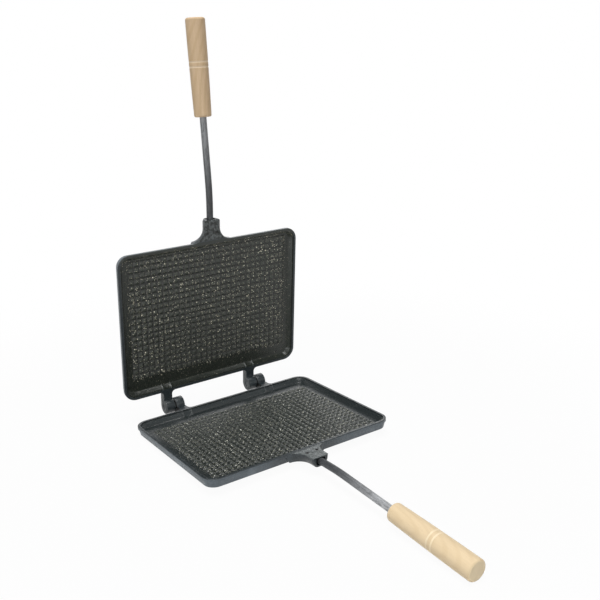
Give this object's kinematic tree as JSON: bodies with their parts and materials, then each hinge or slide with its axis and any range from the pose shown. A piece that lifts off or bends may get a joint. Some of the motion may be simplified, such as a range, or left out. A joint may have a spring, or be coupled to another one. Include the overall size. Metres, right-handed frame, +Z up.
{
  "type": "double-plate toasting iron",
  "caption": "Hinged pair of shallow cast rectangular plates with studded insides, each on a long bent rod with a wooden grip, for toasting over a fire.",
  "frame": {"origin": "middle of the lower plate's flat underside", "axes": "+X along the hinge, to the right seen from the grips; +Y from the grips toward the hinge; +Z straight up with the iron standing open on a table, its lower plate tilted a little because it rests on its back edge and on its grip"},
  "size_m": [0.256, 0.4952, 0.491],
  "materials": {
    "cast_plate": "rough speckled dark coating",
    "rod_steel": "dull grey steel",
    "pin_steel": "dull dark steel",
    "grip_wood": "turned pale wood, sanded"
  },
  "bodies": {
    "lower_half": {"lower_plate": "cast_plate", "lower_rod": "rod_steel", "lower_grip": "grip_wood", "hinge_pin_left": "pin_steel", "hinge_pin_right": "pin_steel", "lower_neck_pin_left": "pin_steel", "lower_neck_pin_right": "pin_steel"},
    "upper_half": {"upper_plate": "cast_plate", "upper_rod": "rod_steel", "upper_grip": "grip_wood", "upper_neck_pin_left": "pin_steel", "upper_neck_pin_right": "pin_steel"}
  },
  "joints": [
    {"name": "lid_hinge", "type": "hinge", "parent": "lower_half", "child": "upper_half", "pos_m": [0, 0.11763, 0.00678], "axis": [1, 0, 0], "range_deg": [-89.4, 83.8]}
  ]
}
